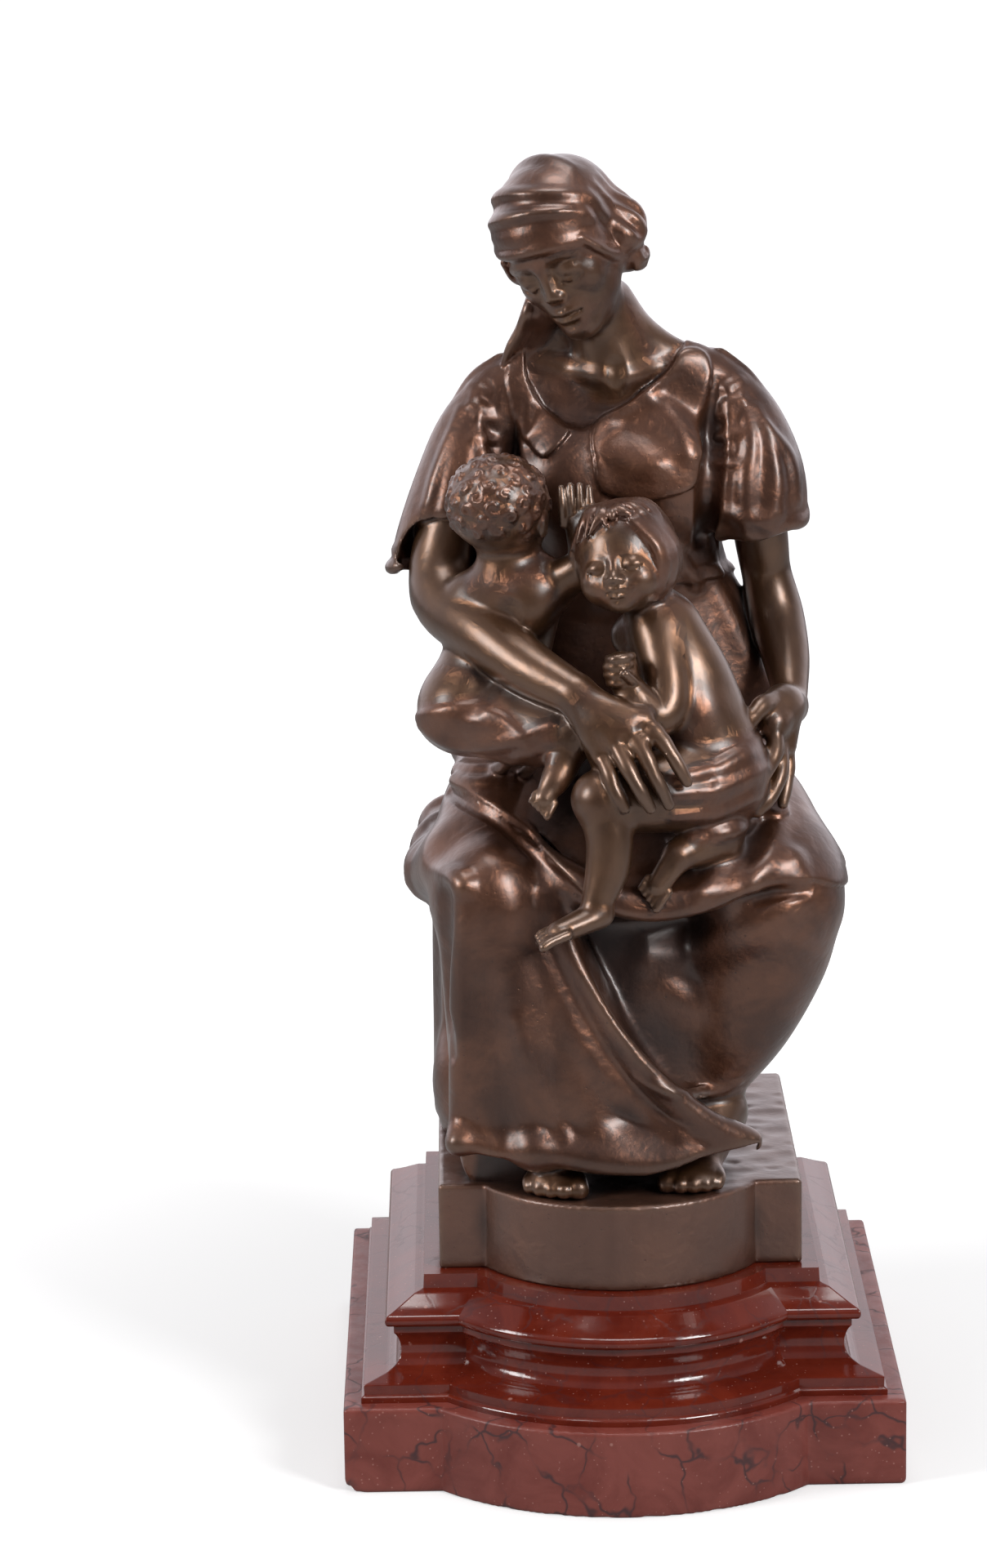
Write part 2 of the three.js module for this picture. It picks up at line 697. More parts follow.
function skirt(clay) {
  // right leg column and the body of the skirt
  clay.add(fold([[-66, -58, 318], [-62, -62, 250], [-58, -62, 176]], [34, 33, 31]), 12);
  clay.add(fold([[-40, -20, 300], [-44, -10, 240], [-48, -10, 170]], [38, 38, 34]), 16);
  // left leg column, narrowing to the ankle
  clay.add(
    fold(
      [[84, -48, 310], [80, -43, 284], [68, -40, 250], [55, -38, 224], [46, -37, 208]],
      [41, 39, 34, 28, 23],
    ),
    12,
  );
  clay.add(ball([4, -30, 272], [50, 34, 58]), 18);
  clay.add(fold([[20, -40, 250], [24, -44, 200]], [34, 26]), 14);
  // the panel in front
  clay.add(
    fold([[-69, -76, 328], [-69, -80, 288], [-69, -82, 237], [-69, -82, 192]], [24, 22, 22, 20]),
    12,
  );
  clay.add(fold([[-52, -72, 299], [-46, -78, 249], [-35, -80, 188]], [20, 24, 22]), 12);
  clay.add(
    fold(
      [[-45, -72, 318], [-32, -76, 281], [-16, -80, 245], [8, -82, 212], [41, -84, 187]],
      [17, 21, 22, 19, 12],
    ),
    10,
  );
  // the fold that crosses from the right knee to the left foot
  clay.add(
    fold(
      [
        [-39, -84, 325], [-27, -91, 299], [-13, -97, 274], [2, -101, 248], [21, -102, 224],
        [45, -100, 202], [73, -92, 187],
      ],
      [6, 8, 9, 9.5, 9, 8, 5],
    ),
    6,
  );
  clay.add(
    fold([[-52, -86, 289], [-42, -88, 257], [-26, -90, 220], [-6, -92, 187]], [8, 13, 16, 14]),
    10,
  );
  clay.add(
    fold([[-27, -94, 188], [0, -97, 186], [32, -96, 188], [59, -92, 188]], [12, 13, 11, 8]),
    10,
  );
  // the flared hem
  clay.add(
    fold(
      [
        [-89, -96, 191], [-63, -100, 189], [-36, -104, 186], [-9, -107, 181], [18, -107, 179],
        [40, -103, 183], [70, -90, 187],
      ],
      [5, 6, 7, 7, 6.5, 6, 4],
    ),
    9,
  );
  // hollows between the folds
  clay.cut(
    fold(
      [
        [-13, -100, 317], [-2, -96, 298], [13, -92, 271], [29, -88, 244], [46, -84, 220],
        [61, -80, 205],
      ],
      [8, 15, 20, 19, 13, 6],
    ),
    9,
  );
  clay.cut(
    fold(
      [[-33, -108, 290], [-21, -113, 264], [-7, -117, 239], [11, -119, 218], [35, -116, 202]],
      [4, 9, 11, 10, 5],
    ),
    8,
  );
  clay.cut(fold([[-46, -112, 280], [-39, -116, 247], [-27, -120, 215]], [5, 10, 9]), 8);
  // the long crease down from the right knee
  ridge(
    clay,
    [[-85, -100, 339], [-84, -100, 317], [-87, -100, 284], [-88, -100, 243], [-90, -100, 190]],
    [6, 7, 7, 7, 6],
    [2, 4, 4, 4.5, 4],
    8,
  );
  ridge(
    clay,
    [[-112, -60, 329], [-101, -85, 342], [-91, -92, 342], [-85, -100, 338]],
    [5, 5, 5, 6],
    [1, 2.5, 3, 3],
    6,
  );
  groove(
    clay,
    [[-93, -90, 328], [-94, -90, 305], [-94, -90, 277], [-93, -90, 240]],
    [6, 8, 8, 5],
    [1, 4, 4, 2],
    6,
  );
  groove(
    clay,
    [[-70, -100, 275], [-68, -100, 238], [-66, -100, 193]],
    [14, 18, 16],
    [0.5, 2, 2],
    8,
  );
  ridge(
    clay,
    [[-57, -100, 321], [-55, -100, 284], [-53, -100, 237], [-49, -100, 190]],
    [12, 14, 14, 12],
    [0, 2, 3, 3],
    8,
  );
  // the cloth that sinks under the overskirt's hem
  clay.cut(
    fold(
      [[-8, -104, 322], [14, -104, 312], [41, -102, 313], [66, -97, 320], [84, -90, 327]],
      [5, 8, 9, 7, 4],
    ),
    8,
  );
  ridge(
    clay,
    [[19, -90, 293], [42, -90, 294], [66, -90, 302], [86, -90, 316], [98, -85, 330]],
    [8, 10, 10, 9, 6],
    [0.5, 2.5, 3, 2.5, 0.5],
    10,
  );
  ridge(
    clay,
    [[8, -100, 228], [23, -100, 220], [41, -100, 216], [59, -100, 217], [67, -100, 221]],
    [3, 3.5, 3.5, 3.5, 3],
    [1, 2.2, 2.4, 2.2, 1],
    2.5,
  );
  clay.cut(fold([[19, -84, 207], [41, -84, 203], [67, -70, 201]], [5, 6, 6]), 4);
  clay.add(fold([[32, -44, 214], [34, -52, 188], [42, -62, 172]], [17, 15, 12]), 5);
  // fine creases beside the crossing fold
  ridge(
    clay,
    [[-42, -100, 300], [-30, -100, 269], [-16, -100, 239], [6, -100, 213], [32, -100, 195]],
    [4, 6, 7, 6, 4],
    [0.4, 1.6, 2, 1.8, 0.6],
    6,
  );
  ridge(clay, [[-56, -100, 261], [-47, -100, 228], [-31, -100, 195]], [4, 5, 4], [0.3, 2, 1.2], 4);
  // cloth drawn over the sides of the seat and hanging behind
  clay.add(
    fold([[-92, -40, 338], [-96, -10, 322], [-96, 26, 318], [-88, 72, 330]], [14, 18, 18, 16]),
    16,
  );
  clay.add(
    fold([[100, -40, 330], [103, -8, 316], [100, 34, 316], [88, 80, 330]], [17, 21, 21, 18]),
    18,
  );
  const sideFolds = [
    [-118, -8, 330, 1], [-116, 16, 326, 1], [-112, 42, 330, 1], [-106, 66, 336, 1],
    [122, -14, 322, -1], [122, 14, 318, -1], [118, 44, 322, -1], [108, 72, 332, -1],
  ];
  for (const [x, y, z, dx] of sideFolds) {
    ridge(
      clay,
      [[x, y + 4, z + 14], [x, y, z], [x - dx * 2, y + 2, z - 22], [x + dx * 8, y + 6, z - 44]],
      [4, 6, 7, 5],
      [0.5, 3, 3.5, 1.5],
      5,
      { direction: [dx, 0, -0.1], back: 60 },
    );
  }
}

function overskirt(clay) {
  // the lip of the cloth stretched between the knees
  clay.add(
    fold(
      [
        [-29, -92, 343], [-14, -97, 332], [5, -99, 324], [24, -99, 323], [49, -96, 327],
        [73, -89, 334], [95, -79, 342],
      ],
      [2, 5, 6, 6, 6, 5, 4],
    ),
    7,
  );
  clay.add(ball([14, -50, 327], [80, 47, 13]), 12);
  clay.add(ball([56, -52, 337], [44, 36, 16]), 12);
  const edge = [
    [-112, 356], [-102, 364], [-92, 374], [-69, 369], [-47, 356], [-28, 342], [-12, 329], [6, 320],
    [26, 318], [48, 323], [74, 332], [104, 334],
  ];
  clay.drape(
    prism([[-134, 352], ...edge, [140, 330], [140, 470], [-134, 470]], 1, -150, 90, 2, 3),
    2.6,
    3,
  );
  // its rolled hem, with a hollow under it
  ridge(clay, edge.map(([x, z]) => [x, -125, z]), 3.4, 1.5, 4, { direction: [0, 1, 0], grain: 4 });
  groove(clay, edge.map(([x, z]) => [x, -125, z - 7]), 4, 2.6, 3.5, { direction: [0, 1, 0] });
  // soft folds that run back from the hem over both thighs
  ridge(clay, [[45, -120, 338], [63, -120, 361], [74, -120, 388]], [4, 6, 5], [0.5, 2, 0.4], 5);
  ridge(clay, [[74, -120, 342], [87, -120, 365], [93, -120, 392]], [4, 6, 5], [0.5, 2, 0.4], 5);
}

function feet(clay) {
  // (place of the ball of the foot, turn, side of the great toe)
  // each toe: how far across, how far forward, and its radius
  const toes = [
    [11.5, -17, 6.2], [3.6, -18.5, 4.8], [-3.2, -16.5, 4.4], [-9.4, -13, 4.1], [-14.6, -8.5, 3.7],
  ];
  for (const [x, y, turn, inner] of [[-37, -88, 6, 1], [43, -84, -22, -1]]) {
    const frame = frameAt([x, y, 160], turn);
    clay.add(limb(frame.out([inner * 2, 40, 30]), frame.out([0, 4, 11]), 17, 11), 6);
    clay.add(ball([0, -4, 6], [16, 15, 9], frame), 5);
    for (const [dx, dy, r] of toes) {
      clay.add(
        fold(
          [
            frame.out([inner * dx * 0.8, 0, 8]),
            frame.out([inner * dx, dy * 0.6, 7]),
            frame.out([inner * dx, dy, 4.6]),
          ],
          [r, r * 0.95, r],
        ),
        1.6,
      );
    }
  }
}

function torso(clay) {
  clay.add(ball([1, 38, 535], [53, 33, 58]), 16);
  clay.add(ball([3, 40, 492], [51, 33, 38]), 14);
  clay.add(limb([-48, 38, 576], [52, 38, 578], 18, 18), 14);
  clay.add(limb([0, 36, 604], [-62, 36, 582], 12, 14), 14);
  clay.add(limb([8, 36, 606], [64, 36, 584], 12, 14), 14);
  clay.add(ball([-22, 13, 537], [23, 17, 28]), 18);
  clay.add(ball([33, 12, 538], [25, 17, 29]), 18);
  clay.add(fold([[-10, 15, 644], [-2, 24, 622], NECK_BASE], [16, 17, 21]), 9);
  clay.add(fold([[6, 24, 640], [16, 30, 620], [34, 34, 606], [54, 34, 598]], [8, 11, 10, 8]), 10);
  clay.add(fold([[-22, 28, 624], [-34, 34, 608], [-50, 34, 598]], [7, 9, 8]), 9);
  for (const s of SIDES) {
    ridge(
      clay,
      [[5 + s * 5, -40, 597], [5 + s * 24, -40, 600], [5 + s * 46, -30, 606]],
      [4, 4, 4],
      [1, 1.6, 0.6],
      5,
      { direction: [0, 1, 0] },
    );
  }
  groove(clay, [[4, -40, 603], [4, -40, 596]], [5, 5], [1.6, 1.6], 4, { direction: [0, 1, 0] });
}

function waistAndBack(clay) {
  clay.add(limb([3, 44, 482], [5, 50, 408], 60, 97, [0, 1, 0], 0.5), 12);
  // gathers that fan out from the waist over the hips and down the back
  for (let turn = 62; turn < 283; turn += 22) {
    const x = Math.sin(radians(turn));
    const y = -0.55 * Math.cos(radians(turn));
    ridge(
      clay,
      [
        [3 + 62 * x, 44 + 62 * y, 484],
        [4 + 86 * x, 48 + 86 * y, 440],
        [5 + 104 * x, 52 + 104 * y, 396],
      ],
      [4, 7, 9],
      [1.5, 3.2, 3],
      6,
      { direction: [-x, -y, 0], back: 60 },
    );
  }
  // the waistband
  clay.add(limb([3, 43, 484], [3, 43, 488], 54, 54, [0, 1, 0], 0.64), 3);
}

function bodice(clay) {
  const neckline = [
    [-48, 630], [-47, 612], [-44, 595], [-36, 581], [-25, 572], [-15, 569], [-4, 573], [13, 584],
    [32, 598], [43, 611], [47, 628], [110, 600], [96, 480], [-96, 480], [-110, 600],
  ];
  clay.drape(prism(neckline, 1, -60, 32, 1, 0), 2.6, 1.5);
  const back = [[-78, 612], [0, 598], [78, 612], [96, 560], [76, 480], [-76, 480], [-96, 560]];
  clay.drape(prism(back, 1, 32, 110, 1, 0), 2.6, 1.5);
  // turned-back lapels, broad on the figure's left
  const leftFlap = [
    [-47, 612], [-44, 595], [-36, 581], [-25, 572], [-21, 569], [-28, 561], [-37, 555], [-48, 567],
    [-55, 594], [-53, 612],
  ];
  const rightFlap = [
    [-8, 571], [13, 584], [32, 598], [43, 611], [57, 605], [56, 574], [50, 542], [33, 533],
    [14, 531], [-4, 536], [-8, 552],
  ];
  for (const flap of [leftFlap, rightFlap]) {
    clay.drape(prism(flap, 1, -60, 28, 1.5, 4), 2.4, 1.5);
  }
  // shallow dents in the broad flap
  ridge(
    clay,
    [[3, -45, 557], [20, -45, 550], [40, -45, 556]],
    [5, 7, 5],
    [0.3, 1.4, 0.3],
    6,
    { direction: [0, 1, 0] },
  );
  ridge(
    clay,
    [[24, -45, 584], [38, -45, 574], [48, -45, 556]],
    [4, 6, 5],
    [0.3, 1.4, 0.3],
    6,
    { direction: [0, 1, 0] },
  );
  groove(
    clay,
    [[11, -45, 571], [26, -45, 566], [36, -45, 552]],
    [6, 8, 6],
    [0.3, 1.4, 0.3],
    6,
    { direction: [0, 1, 0] },
  );
  // tension folds of the cloth over the bust and down to the waist
  ridge(clay, [[30, -40, 520], [40, -40, 506], [50, -40, 492]], [3, 4, 3.5], [0.5, 2, 1.5], 4);
  ridge(clay, [[14, -40, 520], [22, -40, 504], [30, -40, 490]], [3, 4, 3.5], [0.5, 2, 1.5], 4);
  ridge(clay, [[-52, -40, 592], [-55, -40, 570], [-50, -40, 545]], [3, 3.5, 3], [0.5, 2.2, 0.6], 4);
  ridge(
    clay,
    [[-44, -40, 596], [-47, -40, 575], [-42, -40, 552]],
    [2.5, 3, 2.5],
    [0.5, 1.8, 0.6],
    4,
  );
  ridge(
    clay,
    [[-60, -40, 588], [-62, -40, 566], [-57, -40, 545]],
    [2.5, 3, 2.5],
    [0.5, 1.8, 0.6],
    4,
  );
  ridge(clay, [[-2, -40, 536], [-2, -40, 520], [0, -40, 498]], [3, 3, 3], [0.8, 1.4, 1], 4);
}

function sleeves(clay) {
  // right sleeve: loose, with its mouth open to the front and hanging lower at the back
  const loose = fold(
    [[-60, 34, 586], [-74, 28, 562], [-82, 21, 534], [-90, 16, 504], [-94, 14, 488]],
    [17, 22, 26.5, 29, 28],
  );
  clay.add(
    without(
      loose,
      half([-93, -20, 527], [-0.1, -0.86, -0.5]),
      half([-100, 16, 486], [-0.25, 0, -1]),
    ),
    6,
  );
  clay.cut(fold([[-86, 12, 516], [-96, -2, 494], [-102, -20, 470]], [20, 23.5, 28]), 2);
  ridge(
    clay,
    [[-120, 20, 500], [-112, 2, 500], [-102, -12, 518], [-90, -18, 526], [-74, -16, 518]],
    [3, 3, 3, 3, 3],
    [1, 2, 2.4, 2.4, 1.4],
    3,
  );
  const rightFolds = [
    [[-74, -40, 602], [-84, -40, 570], [-92, -40, 536]],
    [[-69, -40, 600], [-78, -40, 565], [-83, -40, 538]],
    [[-67, -40, 592], [-71, -40, 562], [-75, -40, 536]],
    [[-82, -40, 594], [-94, -40, 560], [-104, -40, 525]],
  ];
  for (const line of rightFolds) {
    ridge(clay, line, [2.5, 5, 4], [0.5, 2.8, 1.6], 3.5);
  }
  // left sleeve: hem nearly level, turned up in a band
  const gathered = fold(
    [[60, 36, 590], [73, 32, 570], [80, 26, 545], [82, 22, 524], [82, 22, 506]],
    [15, 22, 27.5, 29, 25],
  );
  clay.add(without(gathered, half([84, 22, 512], [0.12, 0.1, -1])), 6);
  clay.cut(limb([82, 24, 532], [86, 28, 494], 18, 24), 2);
  const hem = [];
  for (let angle = -190; angle < 171; angle += 20) {
    const t = radians(angle);
    hem.push(
      [
        82 + 25.5 * Math.cos(t),
        22 + 25 * Math.sin(t),
        514 + 2.6 * Math.cos(t) + 2.5 * Math.sin(t) + 1.6 * Math.sin(5 * t),
      ],
    );
  }
  clay.add(fold(hem, [3.2, 4.4, 3.3, 4.6, 3.2, 4.4, 3.2]), 4);
  const leftFolds = [
    [[66, -40, 600], [66, -40, 572], [61, -40, 540], [60, -40, 520]],
    [[74, -40, 600], [79, -40, 575], [75, -40, 548], [76, -40, 520]],
    [[82, -40, 592], [90, -40, 570], [93, -40, 545], [88, -40, 524]],
    [[88, -40, 582], [101, -40, 562], [104, -40, 540]],
  ];
  for (const line of leftFolds) {
    ridge(clay, line, [2.5, 4.5, 5.5, 4], [0.6, 2.4, 2.8, 1.6], 4);
  }
  ridge(clay, [[64, -40, 532], [78, -40, 526], [94, -40, 530]], [4, 5, 4], [0.6, 2.2, 0.6], 5);
  // the armhole seams, with small gathers beside them
  groove(
    clay,
    [[62, -40, 606], [59, -40, 585], [55, -40, 556], [52, -40, 520]],
    [4, 6, 7, 6],
    [1.2, 3, 4.5, 4],
    4,
  );
  groove(
    clay,
    [[-67, -40, 606], [-65, -40, 582], [-61, -40, 556]],
    [4, 5, 5],
    [1.2, 2.6, 2.8],
    3.5,
  );
}

function arms(clay) {
  clay.add(
    fold(
      [
        [-80, 20, 540], [-88, 12, 514], [-94, 2, 492], [-90, -14, 476], [-70, -44, 465],
        [-46, -70, 451], [-22, -92, 441.5],
      ],
      [17, 18, 17.5, 18.5, 17.5, 15, 11.5],
    ),
    3,
  );
  clay.add(ball([-100, 0, 475], [9, 11, 10]), 6);
  clay.add(
    fold(
      [
        [82, 28, 530], [86, 34, 500], [89, 38, 480], [94, 33, 457], [98, 14, 438], [99, -6, 424],
        [98, -20, 416],
      ],
      [16, 15, 14, 15.5, 13.5, 10.5, 9.5],
    ),
    3,
  );
}

function womansFace(clay, frame) {
  // skull, face and jaw
  clay.add(ball([0, 8, 15], [29, 36, 31], frame), 6);
  clay.add(ball([0, -5, -6], [25, 24, 36], frame), 7);
  for (const s of SIDES) {
    clay.add(limb(frame.out([s * 19, 4, -16]), frame.out([s * 5, -19, -34]), 8, 7.5), 8);
    clay.add(ball([s * 15, -13.5, -8], [10, 9.5, 10], frame), 7);
  }
  clay.add(ball([0, -22, -35], [7.5, 7, 6.5], frame), 7);
  for (const s of SIDES) {
    // sockets under a soft brow
    clay.add(
      fold(
        [
          frame.out([s * 4, -26.4, 8]),
          frame.out([s * 12, -26.2, 10]),
          frame.out([s * 21, -19.5, 7]),
        ],
        [2, 2.2, 2],
      ),
      7,
    );
    clay.cut(ball([s * 12.5, -34.6, 2], [7.6, 7, 4.4], frame), 6);
    clay.cut(ball([s * 6, -33.4, 1.6], [3, 5, 4.5], frame), 5);
    // the eye under its lowered lid
    clay.add(ball([s * 12.3, -20.4, -0.4], [7.4, 6.4, 5.6], frame), 2.2);
    const lid = without(
      ball([s * 12.3, -20.6, 0], [7.9, 7, 6], frame),
      block([s * 12.3, -22, -12.4], [14, 14, 9.8], 0, frame),
    );
    clay.add(lid, 1.6);
    clay.add(
      fold(
        [
          frame.out([s * 6.4, -24.8, -3.4]),
          frame.out([s * 12.3, -26, -5.4]),
          frame.out([s * 18.6, -22, -3.6]),
        ],
        [0.4, 0.7, 0.4],
      ),
      3,
    );
    clay.cut(
      fold(
        [
          frame.out([s * 6.5, -28.2, 4]),
          frame.out([s * 12.3, -29.4, 7]),
          frame.out([s * 19.3, -24, 4.2]),
        ],
        [0.5, 0.8, 0.5],
      ),
      1.8,
    );
  }
  // nose
  clay.add(
    fold(
      [
        frame.out([0, -26, 9]), frame.out([0, -28.6, 2]), frame.out([0, -32, -7]),
        frame.out([0, -33, -10]),
      ],
      [2.4, 2.2, 2.8, 3.1],
    ),
    5.5,
  );
  for (const s of SIDES) {
    clay.add(ball([s * 3.4, -30, -11], [2.4, 3, 2.3], frame), 2.8);
  }
  // mouth
  clay.add(ball([0, -20.8, -22], [12.5, 9.5, 10], frame), 6);
  clay.cut(fold([frame.out([0, -31.8, -16.4]), frame.out([0, -31.8, -19.6])], [1, 1.2]), 1.8);
  clay.add(
    fold(
      [
        frame.out([-8.4, -26.4, -23.4]), frame.out([-3.4, -30, -21.6]),
        frame.out([0, -30.2, -22.4]), frame.out([3.4, -30, -21.6]), frame.out([8.4, -26.4, -23.4]),
      ],
      [0.8, 2, 1.8, 2, 0.8],
    ),
    2.4,
  );
  clay.add(
    fold(
      [frame.out([-6.8, -26.8, -25.4]), frame.out([0, -29.8, -27]), frame.out([6.8, -26.8, -25.4])],
      [1, 2.7, 1],
    ),
    2.4,
  );
  clay.cut(
    fold(
      [
        frame.out([-8.8, -27, -23.8]), frame.out([-3.6, -31.2, -23.5]),
        frame.out([0, -32.2, -24.2]), frame.out([3.6, -31.2, -23.5]), frame.out([8.8, -27, -23.8]),
      ],
      [0.5, 0.9, 1, 0.9, 0.5],
    ),
    1.6,
  );
  clay.cut(
    fold(
      [frame.out([-4, -30.2, -30.4]), frame.out([0, -31.2, -30.2]), frame.out([4, -30.2, -30.4])],
      [1, 1.5, 1],
    ),
    3.5,
  );
}

// The point of an egg at a turn, 0 in front and 90 at +X, and a rise above its middle
function onBall(frame, centre, halfSize, turn, rise, lift) {
  const t = radians(turn);
  const r = radians(rise);
  const x = centre[0] + halfSize[0] * lift * Math.sin(t) * Math.cos(r);
  const y = centre[1] - halfSize[1] * lift * Math.cos(t) * Math.cos(r);
  const z = centre[2] + halfSize[2] * lift * Math.sin(r);
  return frame.out([x, y, z]);
}

function scarfPoint(turn, rise, lift) {
  return onBall(HEAD, [0, 9, 19], [34, 40.5, 30.5], turn, rise, lift);
}

function headscarf(clay, frame) {
  // the cloth, drawn down behind; its edge runs low across the forehead
  const under = childFrame(frame, [0, 6, -3], 0, -32, 12);
  clay.add(
    without(ball([0, 9, 19], [34, 40.5, 30.5], frame), block([0, 0, -55], [90, 90, 58], 0, under)),
    2.5,
  );
  // the part gathered at the back and the soft lobe at the figure's left
  clay.add(ball([0, 30, 8], [24, 22, 22], frame), 9);
  clay.add(ball([21, 22, -3], [19, 21, 17], frame), 9);
  clay.add(ball([31, 17, -7], [11, 14, 11], frame), 6);
  // rolled edge over the forehead
  const edge = [
    scarfPoint(-100, -20, 0.97), scarfPoint(-66, -6, 0.97), scarfPoint(-30, 0, 0.98),
    scarfPoint(6, -1, 0.98), scarfPoint(36, -9, 0.98), scarfPoint(62, -24, 0.99),
    scarfPoint(84, -42, 1),
  ];
  clay.add(fold(edge, [2.6, 3, 3, 3, 3, 3.2, 3]), 4);
  // long soft folds from the right temple over the crown to the lobe, by turn and rise
  const longFolds = [
    [[-100, -8], [-62, 20], [-20, 36], [24, 32], [56, 14], [82, -14]],
    [[-106, 6], [-88, 34], [-50, 58], [20, 54], [66, 26], [96, -8]],
    [[-112, 8], [-124, 44], [150, 72], [100, 44]],
  ];
  for (const line of longFolds) {
    ridge(
      clay,
      line.map(([turn, rise]) => scarfPoint(turn, rise)),
      [5, 6, 6, 5],
      [0.3, 2.8, 2.8, 0.3],
      3.5,
      { direction: FRONT, centre: HEAD_MIDDLE, back: 60 },
    );
  }
  const hollows = [
    [[-92, -3], [-54, 22], [-14, 31], [26, 25], [56, 6]],
    [[-98, 14], [-72, 38], [-36, 52], [24, 46], [66, 16]],
  ];
  for (const line of hollows) {
    groove(
      clay,
      line.map(([turn, rise]) => scarfPoint(turn, rise)),
      [3.5, 4, 4, 3.5],
      [0.4, 1.6, 1.6, 0.4],
      2.5,
      { direction: FRONT, centre: HEAD_MIDDLE, back: 60 },
    );
  }
  for (const turn of [72, 88, 102, 118, 140, 166, 196, 220]) {
    groove(
      clay,
      [scarfPoint(turn, 14), scarfPoint(turn + 4, -10), scarfPoint(turn + 8, -38, 1.05)],
      [3, 3, 3],
      [0.3, 1.6, 1.2],
      2.5,
      { direction: FRONT, centre: HEAD_MIDDLE, back: 60 },
    );
  }
}

function womansHair(clay, frame) {
  // locks from the temples back under the scarf
  for (const s of SIDES) {
    clay.add(ball([s * 23, -2, 0], [7, 13, 12], frame), 4);
  }
  for (const s of SIDES) {
    for (let k = 0; k < 5; k++) {
      const start = frame.out([s * (26 - k * 0.6), -17 + k * 3.6, 12 - k * 1.5]);
      const mid = frame.out([s * (29.5 - k * 0.4), -9 + k * 4.2, -3 - k * 2.2]);
      const end = frame.out([s * (26 - k), 6 + k * 4.5, -17 - k * 2.5]);
      clay.add(fold([start, mid, end], [2.2, 3, 2.6]), 1.6);
    }
  }
  // curls at the nape, below the lobe of the scarf
  clay.add(ball([23, 19, -20], [9.5, 11, 11], frame), 5);
  // the plait that falls close behind the neck
  const tail = [
    frame.out([-20, 18, -12]), [-34, 22, 636], [-38, 27, 624], [-44, 30, 613], [-48, 33, 603],
  ];
  clay.add(fold(tail, [9, 9, 8.5, 7, 5]), 6);
}

function infantsFace(clay, frame) {
  clay.add(ball([0, 5, 6], [26, 28.5, 25], frame), 6);
  clay.add(ball([0, -5, -8], [22.5, 21, 19.5], frame), 6);
  for (const s of SIDES) {
    clay.add(ball([s * 11, -15, -11.5], [9, 8.5, 8.5], frame), 6);
  }
  clay.add(ball([0, -18.5, -22.5], [6.5, 6, 5], frame), 6);
  for (const s of SIDES) {
    // a closed eye: one smooth lid with the line of the lashes low on it
    clay.cut(ball([s * 9.4, -28.5, -1.5], [6, 4.2, 3.4], frame), 6);
    clay.add(ball([s * 9.4, -19.2, -2.6], [6.5, 6.2, 5.2], frame), 2);
    clay.cut(
      fold(
        [
          frame.out([s * 4.9, -23.6, -4.2]),
          frame.out([s * 9.6, -25.4, -6]),
          frame.out([s * 14.4, -21.6, -4]),
        ],
        [0.35, 0.6, 0.35],
      ),
      1.2,
    );
  }
  // nose
  clay.add(
    fold(
      [frame.out([0, -24, 0]), frame.out([0, -25.8, -5]), frame.out([0, -28.4, -9])],
      [1.8, 2.3, 3],
    ),
    4,
  );
  for (const s of SIDES) {
    clay.add(ball([s * 3.4, -26.2, -9.8], [2.4, 2.8, 2.1], frame), 1.6);
  }
  // mouth
  clay.add(ball([0, -20, -15.4], [8.4, 7, 6.2], frame), 5);
  clay.add(
    fold(
      [
        frame.out([-5.6, -24.8, -15.9]), frame.out([-2.4, -27.6, -14.3]),
        frame.out([0, -27.8, -15]), frame.out([2.4, -27.6, -14.3]), frame.out([5.6, -24.8, -15.9]),
      ],
      [0.6, 1.7, 1.6, 1.7, 0.6],
    ),
    1.4,
  );
  clay.add(
    fold(
      [frame.out([-4.4, -25, -17.4]), frame.out([0, -27.2, -18.6]), frame.out([4.4, -25, -17.4])],
      [0.8, 2, 0.8],
    ),
    1.4,
  );
  clay.cut(
    fold(
      [frame.out([-6, -25.4, -16.5]), frame.out([0, -29.4, -16.6]), frame.out([6, -25.4, -16.5])],
      [0.35, 0.6, 0.35],
    ),
    0.8,
  );
  clay.cut(fold([frame.out([-2, -26, -20.6]), frame.out([2, -26, -20.6])], [0.8, 0.8]), 2.5);
  for (const s of SIDES) {
    ear(clay, frame, s, [25, 4, -5]);
  }
}

function ear(clay, frame, s, place) {
  const [x, y, z] = place;
  const e = childFrame(frame, [s * x, y, z], s * -18, 0, 0);
  clay.add(ball([0, 0, 0], [3, 5.2, 7], e), 1.5);
  clay.cut(ball([s * 2.6, -0.6, 0.8], [1.8, 2.8, 4], e), 0.8);
}

function infantsFoot(clay, heel, toes, up, radius) {
  const way = unit(minus(toes, heel));
  const side = unit(cross(way, up));
  const top = cross(side, way);
  const pad = between(heel, toes, 0.62);
  clay.add(limb(heel, pad, radius, radius * 0.78, top, 0.8), 4);
  for (let k = 0; k < 5; k++) {
    const across = times(side, (k - 2) * radius * 0.42);
    const r = radius * (k === 0 ? 0.3 : 0.225);
    const tip = plus(between(heel, toes, 1.02 - 0.04 * k), across);
    clay.add(
      fold(
        [plus(pad, across), between(plus(pad, across), tip, 0.7), plus(tip, times(top, -1))],
        [r * 1.1, r, r],
      ),
      0.8,
    );
  }
}

